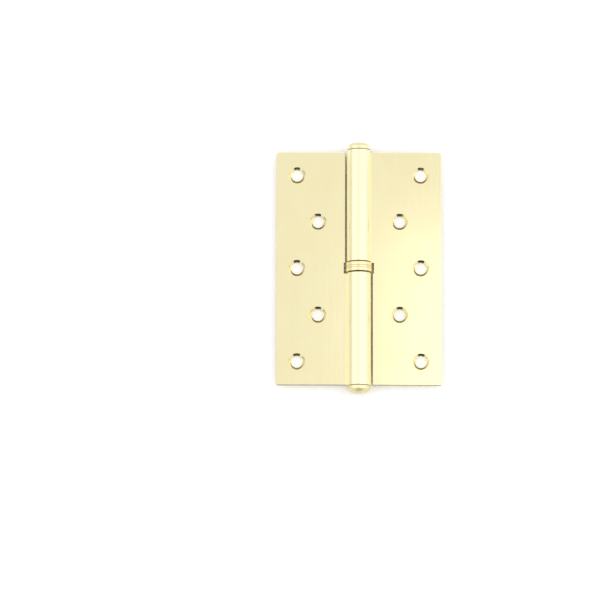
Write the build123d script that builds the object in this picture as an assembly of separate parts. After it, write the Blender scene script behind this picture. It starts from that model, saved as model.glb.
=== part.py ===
from build123d import *
import math
import os

# Lift-off mortise hinge, laid open and flat, millimetres.
# X runs across the leaves, Y along the pin towards its free end, Z up from the back of the barrel.
# The fixed leaf lies at -X with the lower knuckle, the door leaf at +X with the upper one.

# Leaves: one sheet pressing, used twice
leaf_height = 100.0
open_width = 70.0
sheet = 2.5
closed_gap = 2.5             # between the two leaf faces when they are folded shut
leaf_corner_radius = 0.8
edge_break = 0.15            # broken edges of the flat
rim_break = 0.35             # broken outer edge of the roll, at both ends of a knuckle
swage_radius = 1.5           # inside radius of the bend where the leaf steps up beside the barrel
seam_gap = 0.15              # between the end of the roll and the leaf face
edge_clearance = 0.7         # from a knuckle to the free edge of the other leaf
relief_depth = 0.5           # further step of that edge beside the bearing
knuckle_overhang = 0.7       # knuckle past the end of its leaf

# Screw holes, a zigzag of two columns on each leaf
hole_rows = 5
hole_end_distance = 10.0
hole_edge_distance = 8.8
hole_stagger = 8.9
hole_diameter = 5.1
countersink_diameter = 7.0
countersink_angle = 90.0

# Pin
pin_diameter = 5.0
running_clearance = 0.05     # pin in the upper knuckle, on the radius
seat_clearance = 0.01        # pin and caps in the knuckle that grips them, on the radius
pin_seat_setback = 3.0       # from the mouth of the lower knuckle down to the gripped length
pin_headroom = 4.0           # from the nose of the pin to the upper cap
pin_nose_length = 2.0
pin_nose_diameter = 3.4
pin_foot_gap = 0.4           # from the foot of the pin to the lower cap

# Caps that close the ends of the barrel
cap_rim_inset = 0.1          # rim of the cap inside the barrel, on the radius
cap_rim_height = 1.3
cap_cone_height = 1.3
cap_top_diameter = 6.8
cap_shank_length = 6.0

# Thrust bearing between the knuckles
ring_step = 0.35             # races outside the barrel, on the radius
race_thickness = 1.6
race_edge_break = 0.3        # on the rim, where a race meets its knuckle
race_bore_clearance = 0.1    # race round the pin, on the radius
cage_height = 0.9
cage_gap = 0.1               # from the cage to each race
cage_inset = 0.05            # cage inside the rim and outside the bore of the races
ball_diameter = 1.6
ball_count = 5
ball_clearance = 0.05        # ball in its pocket and in its grooves
groove_angle = 90.0          # between the two flats of a groove

# Worked out from these
pin_radius = pin_diameter / 2
bore_radius = pin_radius + running_clearance
barrel_radius = bore_radius + sheet
seat_radius = bore_radius - seat_clearance
ring_radius = barrel_radius + ring_step
axis_height = ring_radius
leaf_end = leaf_height / 2
barrel_end = leaf_end + knuckle_overhang
cage_space = cage_height + 2 * cage_gap
knuckle_mouth = cage_space / 2 + race_thickness
face_level = -closed_gap / 2
back_level = face_level - sheet
free_edge = barrel_radius + edge_clearance
relief_edge = free_edge + relief_depth
ball_circle_radius = (ring_radius + pin_radius + race_bore_clearance) / 2

# The swage bend touches the roll from outside: its centre lies on the back of the leaf
bend_centre_level = back_level - swage_radius
bend_start = math.sqrt((barrel_radius + swage_radius) ** 2 - bend_centre_level ** 2)
roll_start_angle = math.degrees(math.atan2(bend_centre_level, bend_start))
seam_angle = math.degrees(math.asin((closed_gap / 2 - seam_gap) / barrel_radius))
roll_turn = 360 + roll_start_angle + seam_angle

to_pin = Pos(0, 0, axis_height)
half_turn = Rot(0, 0, 180)


def rolled_section():
    # Across the pin: the sheet leaves the leaf, dips behind the barrel and rolls round the bore to the seam
    bend_centre = (bend_start, bend_centre_level)
    bend_turn = 90 + roll_start_angle
    end_angle = math.radians(roll_start_angle - roll_turn)
    end_inside = (bore_radius * math.cos(end_angle), bore_radius * math.sin(end_angle))
    end_outside = (barrel_radius * math.cos(end_angle), barrel_radius * math.sin(end_angle))
    outline = Line((bend_start, back_level), (bend_start, face_level))
    outline += CenterArc(bend_centre, swage_radius + sheet, 90, bend_turn)
    outline += CenterArc((0, 0), bore_radius, roll_start_angle, -roll_turn)
    outline += Line(end_inside, end_outside)
    outline += CenterArc((0, 0), barrel_radius, roll_start_angle, -roll_turn)
    outline += CenterArc(bend_centre, swage_radius, 90, bend_turn)
    return make_face(outline)


def rolled_knuckle():
    # The lower knuckle, with the outer edge of the roll broken at both ends
    end_plane = Plane(origin=(0, -barrel_end, 0), x_dir=(-1, 0, 0), z_dir=(0, 1, 0))
    knuckle = extrude(end_plane * rolled_section(), amount=barrel_end - knuckle_mouth)
    end_rims = knuckle.faces().filter_by(Axis.Y).edges().filter_by(GeomType.CIRCLE)
    return chamfer(end_rims.filter_by(lambda rim: math.isclose(rim.radius, barrel_radius)), rim_break)


def flat_leaf():
    # The flat of the fixed leaf, as far as the bend, with its relief beside the bearing
    outer_edge = -open_width / 2
    outline = Polyline(
        (outer_edge, -leaf_end),
        (-bend_start, -leaf_end),
        (-bend_start, -knuckle_mouth),
        (-relief_edge, -knuckle_mouth),
        (-relief_edge, knuckle_mouth),
        (-free_edge, knuckle_mouth),
        (-free_edge, leaf_end),
        (outer_edge, leaf_end),
        close=True,
    )
    flat = extrude(Pos(0, 0, back_level) * make_face(outline), amount=sheet)
    corners = flat.edges().filter_by(Axis.Z).filter_by_position(Axis.X, outer_edge, outer_edge)
    flat = fillet(corners, leaf_corner_radius)
    rims = flat.faces().filter_by(Axis.Z).edges()
    joined = rims.filter_by_position(Axis.X, -bend_start, -bend_start)
    return chamfer(rims - joined, edge_break)


def screw_hole():
    # A through hole with its countersink on the face of the leaf
    sink_depth = (countersink_diameter - hole_diameter) / 2 / math.tan(math.radians(countersink_angle / 2))
    sink = Cone(hole_diameter / 2, countersink_diameter / 2, sink_depth)
    return Pos(0, 0, back_level + sheet / 2) * Cylinder(hole_diameter / 2, sheet) + Pos(
        0, 0, face_level - sink_depth / 2
    ) * sink


def pressed_leaf():
    leaf = flat_leaf() + rolled_knuckle()
    row_pitch = (leaf_height - 2 * hole_end_distance) / (hole_rows - 1)
    for row in range(hole_rows):
        column = -open_width / 2 + hole_edge_distance + (row % 2) * hole_stagger
        leaf -= Pos(column, row * row_pitch + hole_end_distance - leaf_end, 0) * screw_hole()
    return to_pin * leaf


def turned(*outline):
    # A piece turned about the pin: the outline gives radius and height along the pin
    return to_pin * revolve(make_face(Polyline(*outline, close=True)), Axis.Y)


def hinge_pin():
    foot = -barrel_end + cap_shank_length + pin_foot_gap
    shoulder = -knuckle_mouth - pin_seat_setback
    tip = barrel_end - cap_shank_length - pin_headroom
    return turned(
        (0, foot),
        (seat_radius, foot),
        (seat_radius, shoulder),
        (pin_radius, shoulder),
        (pin_radius, tip - pin_nose_length),
        (pin_nose_diameter / 2, tip),
        (0, tip),
    )


def barrel_cap():
    # The upper cap: a rim, a cone up to its flat top, and a shank down the bore
    rim_radius = barrel_radius - cap_rim_inset
    top = barrel_end + cap_rim_height + cap_cone_height
    shank_end = barrel_end - cap_shank_length
    return turned(
        (0, shank_end),
        (seat_radius, shank_end),
        (seat_radius, barrel_end),
        (rim_radius, barrel_end),
        (rim_radius, barrel_end + cap_rim_height),
        (cap_top_diameter / 2, top),
        (0, top),
    )


def bearing_race():
    # The lower race: a washer on the lower knuckle, with a groove of two flats under the balls
    race_bore = pin_radius + race_bore_clearance
    race_face = -cage_space / 2
    half_angle = math.radians(groove_angle / 2)
    groove_bottom = (ball_diameter / 2 + ball_clearance) / math.sin(half_angle)
    mouth_half_width = (groove_bottom + race_face) * math.tan(half_angle)
    return turned(
        (race_bore, -knuckle_mouth),
        (ring_radius - race_edge_break, -knuckle_mouth),
        (ring_radius, -knuckle_mouth + race_edge_break),
        (ring_radius, race_face),
        (ball_circle_radius + mouth_half_width, race_face),
        (ball_circle_radius, -groove_bottom),
        (ball_circle_radius - mouth_half_width, race_face),
        (race_bore, race_face),
    )


def ball_places():
    # One place on the ball circle for each ball, with its own direction out from the pin
    for number in range(ball_count):
        yield to_pin * Rot(0, number * 360 / ball_count, 0) * Pos(ball_circle_radius, 0, 0)


def bearing_cage():
    inner = pin_radius + race_bore_clearance + cage_inset
    outer = ring_radius - cage_inset
    cage = turned(
        (inner, -cage_height / 2),
        (outer, -cage_height / 2),
        (outer, cage_height / 2),
        (inner, cage_height / 2),
    )
    pocket = Rot(90, 0, 0) * Cylinder(ball_diameter / 2 + ball_clearance, cage_height)
    for place in ball_places():
        cage -= place * pocket
    return cage


fixed_leaf = pressed_leaf()
upper_cap = barrel_cap()
lower_race = bearing_race()

pieces = {
    "fixed_leaf": fixed_leaf,
    "door_leaf": half_turn * fixed_leaf,
    "hinge_pin": hinge_pin(),
    "upper_cap": upper_cap,
    "lower_cap": half_turn * upper_cap,
    "bearing_lower_race": lower_race,
    "bearing_upper_race": half_turn * lower_race,
    "bearing_cage": bearing_cage(),
}
for number, place in enumerate(ball_places(), start=1):
    pieces[f"bearing_ball_{number}"] = place * Sphere(ball_diameter / 2)

os.makedirs("parts", exist_ok=True)
for name, piece in pieces.items():
    export_step(piece, f"parts/{name}.step")
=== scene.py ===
import math

import bpy
from mathutils import Matrix, Vector


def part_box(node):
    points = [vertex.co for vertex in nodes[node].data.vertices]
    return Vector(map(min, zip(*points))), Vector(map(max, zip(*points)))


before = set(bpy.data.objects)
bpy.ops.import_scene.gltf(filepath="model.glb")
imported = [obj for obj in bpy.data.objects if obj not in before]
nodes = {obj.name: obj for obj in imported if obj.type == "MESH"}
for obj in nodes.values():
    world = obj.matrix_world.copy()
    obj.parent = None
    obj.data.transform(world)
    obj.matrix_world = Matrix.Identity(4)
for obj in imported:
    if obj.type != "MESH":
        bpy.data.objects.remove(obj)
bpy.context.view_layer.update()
print("frame loaded,", len(nodes), "nodes")

mm = 0.001
fineDetail = 2.0        # octaves of noise in lines, rings and smears
noiseSpan = (0.3, 0.7)  # nearly all values of a noise texture lie between these
endFaceSlope = 0.5      # a face looks along the pin if more of its normal than this lies that way


def toLinear(hexColour):
    # sRGB hex to the linear values that sockets take
    channels = [int(hexColour[start:start + 2], 16) / 255 for start in (1, 3, 5)]
    return [c / 12.92 if c <= 0.04045 else ((c + 0.055) / 1.055) ** 2.4 for c in channels] + [1.0]


def perMetre(sizeMm):
    # texture scale that gives features of this size
    return 1 / (sizeMm * mm)


def addNode(tree, kind, settings, links=None):
    # a setting goes to the node's own property of that name, or else to a socket; links feed sockets
    # Mix sockets go by number: 0 is the factor, 2 and 3 are the two numbers, 6 and 7 the two colours
    node = tree.nodes.new(kind)
    for key, value in settings.items():
        if isinstance(key, str) and hasattr(node, key):
            setattr(node, key, value)
        else:
            node.inputs[key].default_value = value
    for key, source in (links or {}).items():
        tree.links.new(source, node.inputs[key])
    return node


def startMaterial(name, sockets):
    # a new material with its Principled shader, constants set on the shader itself
    material = bpy.data.materials.new(name)
    material.use_nodes = True
    tree = material.node_tree
    shader = tree.nodes["Principled BSDF"]
    for key, value in sockets.items():
        shader.inputs[key].default_value = value
    place = addNode(tree, "ShaderNodeTexCoord", {})
    return material, tree, shader, place


def endFaces(tree, place):
    # 1 on faces that look along the pin, chamfers among them
    facing = addNode(tree, "ShaderNodeSeparateXYZ", {}, {0: place.outputs["Normal"]})
    lengthwise = addNode(tree, "ShaderNodeMath", {"operation": "ABSOLUTE"}, {0: facing.outputs["Y"]})
    return addNode(tree, "ShaderNodeMath", {"operation": "GREATER_THAN", 1: endFaceSlope},
                   {0: lengthwise.outputs[0]})


def roughnessFrom(tree, noise, look):
    # the noise moves the roughness between its two limits
    low, high = look["roughness"]
    return addNode(tree, "ShaderNodeMapRange",
                   {"From Min": noiseSpan[0], "From Max": noiseSpan[1], "To Min": low, "To Max": high},
                   {"Value": noise.outputs["Fac"]})


# Brass-plated sheet steel, pressed, then buffed lengthwise and lacquered:
# a pale even gold with soft mirror reflections, faint clouds in the plating and fine buffing lines.
# The rolled barrel is painted a little paler than the flats, a painted highlight for its bleached stripes
# of light, and it is less bright than the flats, so its stripes of light are softer.
# Sheared edges, hole walls and the ends of the roll were cut and not buffed, so they are dull and dark;
# their dark colour is partly painted shade, so that the slits and the lower edges look shaded.
# Countersinks and edge breaks are plated and buffed with the flats, so they mirror what stands low.
plateLook = {
    "colour": "#FAF1C4",
    "cloudColour": "#F5E9B6",
    "rollHighlightColour": "#FAF2CA",
    "cutShadeColour": "#A89B70",
    "lacquerRoughness": 0.11,
    "roughness": (0.10, 0.15),
    "rollRoughness": 0.17,     # added on the roll
    "cutRoughness": 0.45,
    "cloudMm": 14.0,
    "cloudDetail": 3.0,
    "cloudRoughness": 0.55,
    "lineMm": 0.5,             # real buffing lines are about 0.05 mm apart, drawn coarser to show
    "lineLengthMm": 40.0,
    "lineHeightMm": 0.0004,
    "waveMm": 22.0,            # slow ripple left by the press
    "waveDetail": 0.0,         # no finer waves on it
    "waveHeightMm": 0.004,
    "barrelHalfMm": 5.4,       # the rolled part, where steep faces are still buffed ones
    "cutSlope": (0.30, 0.70),  # upward part of the normal: cut below the first, buffed above the second
}


def outsideBarrel(tree, place, look):
    # 1 on the leaf, 0 on the rolled part
    where = addNode(tree, "ShaderNodeSeparateXYZ", {}, {0: place.outputs["Object"]})
    across = addNode(tree, "ShaderNodeMath", {"operation": "ABSOLUTE"}, {0: where.outputs["X"]})
    return addNode(tree, "ShaderNodeMath", {"operation": "GREATER_THAN", 1: look["barrelHalfMm"] * mm},
                   {0: across.outputs[0]})


def cutFaces(tree, place, look, outside):
    # 1 on steep faces outside the barrel, and on it on those that look along the pin
    facing = addNode(tree, "ShaderNodeSeparateXYZ", {}, {0: place.outputs["Normal"]})
    upward = addNode(tree, "ShaderNodeMath", {"operation": "ABSOLUTE"}, {0: facing.outputs["Z"]})
    cutBelow, buffedAbove = look["cutSlope"]
    steep = addNode(tree, "ShaderNodeMapRange",
                    {"From Min": cutBelow, "From Max": buffedAbove, "To Min": 1.0, "To Max": 0.0},
                    {"Value": upward.outputs[0]})
    return addNode(tree, "ShaderNodeMix", {"data_type": "FLOAT"},
                   {0: outside.outputs[0], 2: endFaces(tree, place).outputs[0],
                    3: steep.outputs["Result"]})


def buffingLines(tree, place, look):
    # long thin cells along the pin
    stretch = addNode(tree, "ShaderNodeMapping",
                      {"Scale": (perMetre(look["lineMm"]), perMetre(look["lineLengthMm"]),
                                 perMetre(look["lineMm"]))},
                      {"Vector": place.outputs["Object"]})
    return addNode(tree, "ShaderNodeTexNoise", {"Scale": 1.0, "Detail": fineDetail},
                   {"Vector": stretch.outputs["Vector"]})


def buffedPlate(look):
    material, tree, shader, place = startMaterial(
        "brass_plated_steel_buffed",
        {"Metallic": 1.0, "Coat Weight": 1.0, "Coat Roughness": look["lacquerRoughness"]})
    outside = outsideBarrel(tree, place, look)
    cut = cutFaces(tree, place, look, outside)
    lines = buffingLines(tree, place, look)
    # colour: clouded on the flats, paler on the roll as a painted highlight, dark where cut, partly as
    # painted shade
    clouds = addNode(tree, "ShaderNodeTexNoise",
                     {"Scale": perMetre(look["cloudMm"]), "Detail": look["cloudDetail"],
                      "Roughness": look["cloudRoughness"]},
                     {"Vector": place.outputs["Object"]})
    tint = addNode(tree, "ShaderNodeMix",
                   {"data_type": "RGBA", 6: toLinear(look["colour"]), 7: toLinear(look["cloudColour"])},
                   {0: clouds.outputs["Fac"]})
    # paler roll colour: a painted highlight standing in for the bleached stripes on the barrel
    rolled = addNode(tree, "ShaderNodeMix", {"data_type": "RGBA", 6: toLinear(look["rollHighlightColour"])},
                     {0: outside.outputs[0], 7: tint.outputs[2]})
    # the cut colour is partly dull cut metal and partly painted shade in the slits and on the lower edges
    colour = addNode(tree, "ShaderNodeMix", {"data_type": "RGBA", 7: toLinear(look["cutShadeColour"])},
                     {0: cut.outputs[0], 6: rolled.outputs[2]})
    tree.links.new(colour.outputs[2], shader.inputs["Base Color"])
    # roughness: follows the lines, more on the roll, most where cut
    gloss = roughnessFrom(tree, lines, look)
    added = addNode(tree, "ShaderNodeMath",
                    {"operation": "MULTIPLY_ADD", 1: -look["rollRoughness"], 2: look["rollRoughness"]},
                    {0: outside.outputs[0]})
    buffed = addNode(tree, "ShaderNodeMath", {"operation": "ADD"},
                     {0: gloss.outputs["Result"], 1: added.outputs[0]})
    rough = addNode(tree, "ShaderNodeMix", {"data_type": "FLOAT", 3: look["cutRoughness"]},
                    {0: cut.outputs[0], 2: buffed.outputs[0]})
    tree.links.new(rough.outputs[0], shader.inputs["Roughness"])
    # relief: the slow ripple with the lines on it
    ripple = addNode(tree, "ShaderNodeTexNoise",
                     {"Scale": perMetre(look["waveMm"]), "Detail": look["waveDetail"]},
                     {"Vector": place.outputs["Object"]})
    slow = addNode(tree, "ShaderNodeBump", {"Strength": 1.0, "Distance": look["waveHeightMm"] * mm},
                   {"Height": ripple.outputs["Fac"]})
    fine = addNode(tree, "ShaderNodeBump", {"Strength": 1.0, "Distance": look["lineHeightMm"] * mm},
                   {"Height": lines.outputs["Fac"], "Normal": slow.outputs["Normal"]})
    tree.links.new(fine.outputs["Normal"], shader.inputs["Normal"])
    return material


# Turned metal: a lathe leaves fine rings round the pin's line, so light draws out along them.
# Real rings are about 0.1 mm apart, drawn coarser to show.
# The caps and races are brass plated like the leaves; their ends and chamfers are painted darker as
# painted shade, most on the races, where they meet the knuckles; the cage is bare brass; the pin is ground
# steel.
turnedLooks = {
    "brass_plated_steel_turned": {
        "colour": "#FAF1C6", "ringColour": "#F4E7B4", "roughness": (0.26, 0.36),
        "ringMm": 0.30, "ringHeightMm": 0.0010, "endShadeColour": "#DCD2A2"},
    "brass_plated_steel_race": {
        "colour": "#FAF1C6", "ringColour": "#F4E7B4", "roughness": (0.22, 0.32),
        "ringMm": 0.30, "ringHeightMm": 0.0008, "endShadeColour": "#A8945A"},
    "brass_pressed": {
        "colour": "#F8EDBE", "ringColour": "#F0E2AA", "roughness": (0.20, 0.30),
        "ringMm": 0.35, "ringHeightMm": 0.0008},
    "steel_ground": {
        "colour": "#D3D3D1", "ringColour": "#BEBFBF", "roughness": (0.18, 0.30),
        "ringMm": 0.40, "ringHeightMm": 0.0008},
}


def pinAxis():
    # the pin's line runs along Y through the middle of the hinge pin
    low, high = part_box("hinge_pin")
    return (low + high) / 2


def turningRings(tree, place, look):
    # a ring keeps its distance from the pin's line and its height along it
    shift = addNode(tree, "ShaderNodeVectorMath", {"operation": "SUBTRACT", 1: pinAxis()},
                    {0: place.outputs["Object"]})
    parts = addNode(tree, "ShaderNodeSeparateXYZ", {}, {0: shift.outputs["Vector"]})
    flat = addNode(tree, "ShaderNodeCombineXYZ", {},
                   {"X": parts.outputs["X"], "Z": parts.outputs["Z"]})
    reach = addNode(tree, "ShaderNodeVectorMath", {"operation": "LENGTH"}, {0: flat.outputs["Vector"]})
    ringPlace = addNode(tree, "ShaderNodeCombineXYZ", {},
                        {"X": reach.outputs["Value"], "Y": parts.outputs["Y"]})
    return addNode(tree, "ShaderNodeTexNoise", {"Scale": perMetre(look["ringMm"]), "Detail": fineDetail},
                   {"Vector": ringPlace.outputs["Vector"]})


def turnedMetal(name, look):
    material, tree, shader, place = startMaterial(name, {"Metallic": 1.0})
    rings = turningRings(tree, place, look)
    colour = addNode(tree, "ShaderNodeMix",
                     {"data_type": "RGBA", 6: toLinear(look["colour"]), 7: toLinear(look["ringColour"])},
                     {0: rings.outputs["Fac"]})
    # ends and chamfers painted darker: painted shade at the joints and a painted dark reflection on the
    # cones
    if "endShadeColour" in look:
        colour = addNode(tree, "ShaderNodeMix", {"data_type": "RGBA", 7: toLinear(look["endShadeColour"])},
                         {0: endFaces(tree, place).outputs[0], 6: colour.outputs[2]})
    tree.links.new(colour.outputs[2], shader.inputs["Base Color"])
    gloss = roughnessFrom(tree, rings, look)
    tree.links.new(gloss.outputs["Result"], shader.inputs["Roughness"])
    bump = addNode(tree, "ShaderNodeBump", {"Strength": 1.0, "Distance": look["ringHeightMm"] * mm},
                   {"Height": rings.outputs["Fac"]})
    tree.links.new(bump.outputs["Normal"], shader.inputs["Normal"])
    return material


# Hardened chrome steel balls, lapped: a near mirror with a trace of oil smear
ballLook = {"colour": "#CFD2D6", "smearColour": "#B9BCC0", "roughness": (0.06, 0.14), "smearMm": 0.7}


def lappedSteel(look):
    material, tree, shader, place = startMaterial("bearing_steel_lapped", {"Metallic": 1.0})
    smear = addNode(tree, "ShaderNodeTexNoise", {"Scale": perMetre(look["smearMm"]), "Detail": fineDetail},
                    {"Vector": place.outputs["Object"]})
    tint = addNode(tree, "ShaderNodeMix",
                   {"data_type": "RGBA", 6: toLinear(look["colour"]), 7: toLinear(look["smearColour"])},
                   {0: smear.outputs["Fac"]})
    tree.links.new(tint.outputs[2], shader.inputs["Base Color"])
    low, high = look["roughness"]
    gloss = addNode(tree, "ShaderNodeMapRange", {"To Min": low, "To Max": high},
                    {"Value": smear.outputs["Fac"]})
    tree.links.new(gloss.outputs["Result"], shader.inputs["Roughness"])
    return material


plate = buffedPlate(plateLook)
ball = lappedSteel(ballLook)
turned = {name: turnedMetal(name, look) for name, look in turnedLooks.items()}
finishes = {
    "fixed_leaf": plate,
    "door_leaf": plate,
    "lower_cap": turned["brass_plated_steel_turned"],
    "upper_cap": turned["brass_plated_steel_turned"],
    "bearing_lower_race": turned["brass_plated_steel_race"],
    "bearing_upper_race": turned["brass_plated_steel_race"],
    "bearing_cage": turned["brass_pressed"],
    "hinge_pin": turned["steel_ground"],
}
for name, node in nodes.items():
    finish = ball if name.startswith("bearing_ball_") else finishes[name]
    node.data.materials.clear()
    node.data.materials.append(finish)
print("finishes set on", len(nodes), "nodes")


def stagePiece(name, corners, faces, material):
    # a plain mesh that belongs to the studio
    mesh = bpy.data.meshes.new(name)
    mesh.from_pydata(corners, [], faces)
    mesh.materials.append(material)
    piece = bpy.data.objects.new(name, mesh)
    bpy.context.scene.collection.objects.link(piece)
    return piece


# White table, lifted a little towards white for the eye and in reflections; it keeps the shadow.
# A spot of card lies under each screw hole and shows through it only; it glows brighter than the table,
# painted light that lifts the shade under the leaves where it shows through the holes. Plain paper, not
# lifted, lies under the slit beside each knuckle as painted shade, so that the slits stay dark.
floorLook = {"colour": "#FDFDFD", "lift": 0.12, "halfSize": 3.0, "dropMm": 0.02}
holeLightSpotLook = {"colour": "#FDFDFD", "lift": 0.42, "radiusMm": 3.9, "corners": 24, "dropMm": 0.01,
            "rows": 5, "pitchMm": 20.0, "columnsMm": (26.2, 17.3)}
slitShadeLook = {"colour": "#FDFDFD", "lift": 0.0, "nearMm": 4.6, "farMm": 6.6, "fromMm": -3.0, "toMm": 49.5,
            "dropMm": 0.01}


def paperWhite(name, look):
    material = bpy.data.materials.new(name)
    material.use_nodes = True
    tree = material.node_tree
    tree.nodes.remove(tree.nodes["Principled BSDF"])
    ray = addNode(tree, "ShaderNodeLightPath", {})
    seen = addNode(tree, "ShaderNodeMath", {"operation": "MAXIMUM"},
                   {0: ray.outputs["Is Camera Ray"], 1: ray.outputs["Is Glossy Ray"]})
    seenThrough = addNode(tree, "ShaderNodeMath", {"operation": "MAXIMUM"},
                          {0: seen.outputs[0], 1: ray.outputs["Is Transmission Ray"]})
    lift = addNode(tree, "ShaderNodeMath", {"operation": "MULTIPLY", 1: look["lift"]},
                   {0: seenThrough.outputs[0]})
    glow = addNode(tree, "ShaderNodeEmission", {}, {"Strength": lift.outputs[0]})
    matt = addNode(tree, "ShaderNodeBsdfDiffuse", {"Color": toLinear(look["colour"])})
    paper = addNode(tree, "ShaderNodeAddShader", {}, {0: matt.outputs[0], 1: glow.outputs[0]})
    tree.links.new(paper.outputs[0], tree.nodes["Material Output"].inputs["Surface"])
    return material


def whiteTable(look):
    half, level = look["halfSize"], -look["dropMm"] * mm
    corners = [(-half, -half, level), (half, -half, level), (half, half, level), (-half, half, level)]
    stagePiece("floor", corners, [(0, 1, 2, 3)], paperWhite("white_paper", look))


def holeLightSpots(look):
    # one round spot of painted light for each hole of the zigzag on both leaves
    corners, faces = [], []
    for side in (-1, 1):
        for row in range(look["rows"]):
            x = side * look["columnsMm"][row % 2]
            y = (row - (look["rows"] - 1) / 2) * look["pitchMm"]
            faces.append(range(len(corners), len(corners) + look["corners"]))
            for step in range(look["corners"]):
                turn = 2 * math.pi * step / look["corners"]
                corners.append(((x + look["radiusMm"] * math.cos(turn)) * mm,
                                (y + look["radiusMm"] * math.sin(turn)) * mm, -look["dropMm"] * mm))
    stagePiece("hole_light_spots", corners, faces, paperWhite("white_card_painted_light", look))


def slitShadePapers(look):
    # one strip of painted shade along each slit; the second is the first turned half round
    corners, faces = [], []
    for side in (-1, 1):
        faces.append(range(len(corners), len(corners) + 4))
        for x, y in (("farMm", "fromMm"), ("nearMm", "fromMm"), ("nearMm", "toMm"), ("farMm", "toMm")):
            corners.append((side * look[x] * mm, -side * look[y] * mm, -look["dropMm"] * mm))
    stagePiece("slit_shade_papers", corners, faces, paperWhite("slit_shade_paper", look))


whiteTable(floorLook)
holeLightSpots(holeLightSpotLook)
slitShadePapers(slitShadeLook)

# Two low matt cards stand round the table: a dark one in front, which countersinks and edge breaks
# mirror as a dark line, and a grey one at the left, for the flank of the barrel.
cardLooks = {
    "front_card": {"fromDegrees": -120, "toDegrees": -60, "topDegrees": 15, "radius": 0.9,
                   "colour": "#0C0C0C"},
    "left_card": {"fromDegrees": 150, "toDegrees": 220, "topDegrees": 8, "radius": 0.9,
                  "colour": "#B4B4B4"},
}
cardStepDegrees = 10
cardRoughness = 1.0


def lowCard(name, look):
    material = bpy.data.materials.new(name + "_matt")
    material.use_nodes = True
    shader = material.node_tree.nodes["Principled BSDF"]
    shader.inputs["Base Color"].default_value = toLinear(look["colour"])
    shader.inputs["Roughness"].default_value = cardRoughness
    steps = round((look["toDegrees"] - look["fromDegrees"]) / cardStepDegrees)
    top = look["radius"] * math.tan(math.radians(look["topDegrees"]))
    corners = []
    for step in range(steps + 1):
        turn = math.radians(look["fromDegrees"] + step * cardStepDegrees)
        x, y = look["radius"] * math.cos(turn), look["radius"] * math.sin(turn)
        corners += [(x, y, 0.0), (x, y, top)]
    faces = [(2 * s, 2 * s + 1, 2 * s + 3, 2 * s + 2) for s in range(steps)]
    card = stagePiece(name, corners, faces, material)
    card.visible_camera = False


for name, look in cardLooks.items():
    lowCard(name, look)

# Four soft boxes round the table, given by the angles from straight up that they cover.
# Each adds its brightness to the white room behind it.
softBoxes = {
    "left_box": {"fromDegrees": -14, "toDegrees": -66, "distance": 1.2, "length": 1.6, "shift": 0.0,
                 "brightness": 0.30},
    "right_box": {"fromDegrees": 24, "toDegrees": 76, "distance": 1.2, "length": 1.8, "shift": 0.0,
                  "brightness": 0.20},
    "wide_box": {"fromDegrees": 16, "toDegrees": 76, "distance": 1.2, "length": 1.8, "shift": 0.0,
                 "brightness": 0.12},
    "front_box": {"fromDegrees": 1.9, "toDegrees": 24, "distance": 1.25, "length": 1.2, "shift": -0.35,
                  "brightness": 0.52},
}


def softBox(name, look):
    middle = math.radians((look["fromDegrees"] + look["toDegrees"]) / 2)
    spread = math.radians(abs(look["toDegrees"] - look["fromDegrees"]) / 2)
    lamp = bpy.data.lights.new(name, "AREA")
    lamp.shape = "RECTANGLE"
    lamp.size = 2 * look["distance"] * math.tan(spread)
    lamp.size_y = look["length"]
    lamp.energy = look["brightness"] * math.pi * lamp.size * lamp.size_y
    holder = bpy.data.objects.new(name, lamp)
    bpy.context.scene.collection.objects.link(holder)
    away = Vector((math.sin(middle), 0, math.cos(middle)))
    along = Vector((0, 1, 0))
    turn = Matrix((along.cross(away), along, away)).transposed().to_4x4()
    holder.matrix_world = Matrix.Translation(away * look["distance"] + along * look["shift"]) @ turn
    holder.visible_camera = False


for name, look in softBoxes.items():
    softBox(name, look)

roomLook = {"colour": "#FFFFFF", "strength": 0.95}
world = bpy.data.worlds.new("white_room")
world.use_nodes = True
backdrop = world.node_tree.nodes["Background"]
backdrop.inputs["Color"].default_value = toLinear(roomLook["colour"])
backdrop.inputs["Strength"].default_value = roomLook["strength"]
bpy.context.scene.world = world
bpy.context.scene.view_settings.view_transform = "Standard"
print("studio set,", len(softBoxes), "soft boxes")

# Seen almost from above, from the lower end of the barrel, with the hinge right of the middle
cameraLook = {"lens": 226.6, "sensor": 36.0, "azimuth": 0.05, "elevation": 80.47, "roll": 0.10,
              "targetMm": (-24.88, -13.08, 0.35), "distanceMm": 1600.0}


def placeCamera(look):
    azimuth, elevation, roll = (math.radians(look[key]) for key in ("azimuth", "elevation", "roll"))
    back = Vector((math.sin(azimuth) * math.cos(elevation), -math.cos(azimuth) * math.cos(elevation),
                   math.sin(elevation)))
    right = Vector((math.cos(azimuth), math.sin(azimuth), 0))
    up = back.cross(right)
    rolledRight = right * math.cos(roll) + up * math.sin(roll)
    rolledUp = up * math.cos(roll) - right * math.sin(roll)
    data = bpy.data.cameras.new("camera")
    data.lens = look["lens"]
    data.sensor_width = look["sensor"]
    camera = bpy.data.objects.new("camera", data)
    bpy.context.scene.collection.objects.link(camera)
    place = Vector(look["targetMm"]) * mm + back * look["distanceMm"] * mm
    turn = Matrix((rolledRight, rolledUp, back)).transposed().to_4x4()
    camera.matrix_world = Matrix.Translation(place) @ turn
    bpy.context.scene.camera = camera


placeCamera(cameraLook)
print("camera set")
